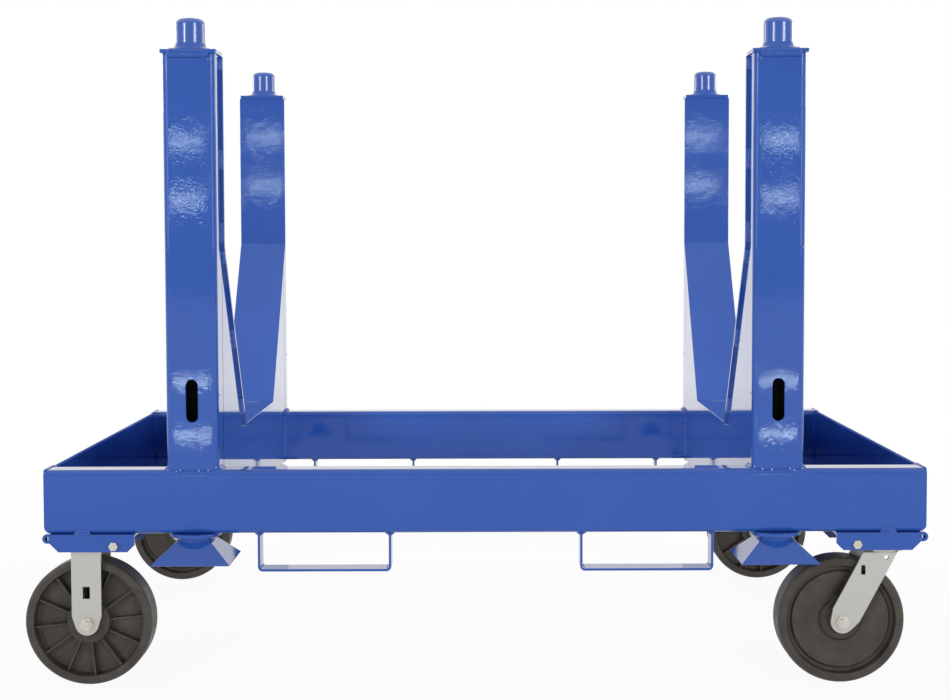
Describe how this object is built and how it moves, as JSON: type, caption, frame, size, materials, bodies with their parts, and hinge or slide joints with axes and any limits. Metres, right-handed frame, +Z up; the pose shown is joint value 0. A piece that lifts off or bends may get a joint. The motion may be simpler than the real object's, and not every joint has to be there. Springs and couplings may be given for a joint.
{
  "type": "material cart",
  "caption": "Wheeled steel cart with V-shaped cradles between stacking posts, fork pockets under the rails, and rigid and swivel casters.",
  "frame": {"origin": "on the floor, at the centre of the overall box", "axes": "+X along the cart towards the swivel casters, -Y towards the pictured side, +Z up"},
  "size_m": [1.4405, 0.9886, 1.0602],
  "materials": {
    "blue_paint": "glossy enamel",
    "zinc_steel": "zinc plated",
    "wheel_plastic": "moulded"
  },
  "bodies": {
    "cart": {"front_left_caster_pocket": "blue_paint", "front_left_fork_strap": "blue_paint", "front_left_funnel": "blue_paint", "front_left_post": "blue_paint", "front_left_stack_pin": "blue_paint", "front_left_stack_seat": "blue_paint", "front_rail": "blue_paint", "front_right_caster_pocket": "blue_paint", "front_right_fork_strap": "blue_paint", "front_right_funnel": "blue_paint", "front_right_post": "blue_paint", "front_right_stack_pin": "blue_paint", "front_right_stack_seat": "blue_paint", "front_rigid_axle": "zinc_steel", "front_rigid_fork": "zinc_steel", "front_swivel_plate": "zinc_steel", "kingpins": "zinc_steel", "left_cradle": "blue_paint", "left_end_wall": "blue_paint", "left_floor_plate": "blue_paint", "left_inner_web": "blue_paint", "left_outer_web": "blue_paint", "pocket_bolts": "zinc_steel", "pocket_sleeves": "zinc_steel", "post_caps": "blue_paint", "rail_end_caps": "blue_paint", "rear_left_caster_pocket": "blue_paint", "rear_left_fork_strap": "blue_paint", "rear_left_funnel": "blue_paint", "rear_left_post": "blue_paint", "rear_left_stack_pin": "blue_paint", "rear_left_stack_seat": "blue_paint", "rear_rail": "blue_paint", "rear_right_caster_pocket": "blue_paint", "rear_right_fork_strap": "blue_paint", "rear_right_funnel": "blue_paint", "rear_right_post": "blue_paint", "rear_right_stack_pin": "blue_paint", "rear_right_stack_seat": "blue_paint", "rear_rigid_axle": "zinc_steel", "rear_rigid_fork": "zinc_steel", "rear_swivel_plate": "zinc_steel", "right_cradle": "blue_paint", "right_end_wall": "blue_paint", "right_floor_plate": "blue_paint", "right_inner_web": "blue_paint", "right_outer_web": "blue_paint"},
    "front_left_wheel": {"front_rigid_wheel": "wheel_plastic", "front_rigid_bearing": "zinc_steel"},
    "front_right_swivel": {"front_swivel_fork": "zinc_steel", "front_swivel_axle": "zinc_steel"},
    "front_right_wheel": {"front_swivel_wheel": "wheel_plastic", "front_swivel_bearing": "zinc_steel"},
    "rear_left_wheel": {"rear_rigid_wheel": "wheel_plastic", "rear_rigid_bearing": "zinc_steel"},
    "rear_right_swivel": {"rear_swivel_fork": "zinc_steel", "rear_swivel_axle": "zinc_steel"},
    "rear_right_wheel": {"rear_swivel_wheel": "wheel_plastic", "rear_swivel_bearing": "zinc_steel"}
  },
  "joints": [
    {"name": "front_left_roll", "type": "hinge", "parent": "cart", "child": "front_left_wheel", "pos_m": [-0.61865, -0.4054, 0.1016], "axis": [0, 1, 0], "continuous": true},
    {"name": "front_right_turn", "type": "hinge", "parent": "cart", "child": "front_right_swivel", "pos_m": [0.65515, -0.4054, 0.2191], "axis": [0, 0, 1], "continuous": true},
    {"name": "front_right_roll", "type": "hinge", "parent": "front_right_swivel", "child": "front_right_wheel", "pos_m": [0.58865, -0.4054, 0.1016], "axis": [0, 1, 0], "continuous": true},
    {"name": "rear_left_roll", "type": "hinge", "parent": "cart", "child": "rear_left_wheel", "pos_m": [-0.61865, 0.4054, 0.1016], "axis": [0, 1, 0], "continuous": true},
    {"name": "rear_right_turn", "type": "hinge", "parent": "cart", "child": "rear_right_swivel", "pos_m": [0.65515, 0.4054, 0.2191], "axis": [0, 0, 1], "continuous": true},
    {"name": "rear_right_roll", "type": "hinge", "parent": "rear_right_swivel", "child": "rear_right_wheel", "pos_m": [0.58865, 0.4054, 0.1016], "axis": [0, 1, 0], "continuous": true}
  ]
}
